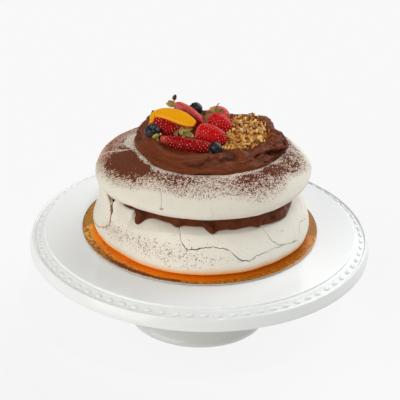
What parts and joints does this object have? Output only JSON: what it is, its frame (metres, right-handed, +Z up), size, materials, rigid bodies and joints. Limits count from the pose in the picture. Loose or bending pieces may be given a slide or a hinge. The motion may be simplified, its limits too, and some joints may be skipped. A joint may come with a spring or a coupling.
{
  "type": "pavlova on a cake stand",
  "caption": "Two-tier chocolate pavlova with cocoa, cream, berries, mango and chopped nuts, on a gold cake board and a white footed cake stand with a pearled rim.",
  "frame": {"origin": "middle of the stand's foot, on the surface it stands on", "axes": "+Z up, the front of the pavlova towards -Y, +X to the right as seen from the front"},
  "size_m": [0.3478, 0.348, 0.2287],
  "materials": {
    "white_china": "glossy white glaze",
    "gold_card": "gold foil on card, smooth and bright",
    "meringue": "dry baked meringue, matt ivory, dusted with cocoa",
    "chocolate_ganache": "satin dark chocolate filling",
    "chocolate_cream": "satin whipped chocolate cream",
    "blueberry_skin": "dark blue skin with pale bloom",
    "mango_flesh": "moist yellow fruit flesh",
    "strawberry_flesh": "glossy red skin with pale seeds",
    "roasted_nuts": "chopped roasted nuts, dry, pale cream to caramel",
    "berry_leaf": "green and browned berry caps and stalks, in the visual model only",
    "cocoa_powder": "dry cocoa powder, in the visual model only"
  },
  "bodies": {
    "root": {"cake_stand": "white_china", "cake_board": "gold_card", "meringue_lower": "meringue", "chocolate_filling": "chocolate_ganache", "meringue_upper": "meringue", "chocolate_cream": "chocolate_cream", "blueberry_left": "blueberry_skin", "blueberry_back": "blueberry_skin", "blueberry_front": "blueberry_skin", "mango_slice": "mango_flesh", "strawberry_big": "strawberry_flesh", "strawberry_front": "strawberry_flesh", "strawberry_right": "strawberry_flesh", "strawberry_back": "strawberry_flesh", "strawberry_half": "strawberry_flesh", "strawberry_left": "strawberry_flesh", "chopped_nuts": "roasted_nuts"}
  },
  "joints": []
}
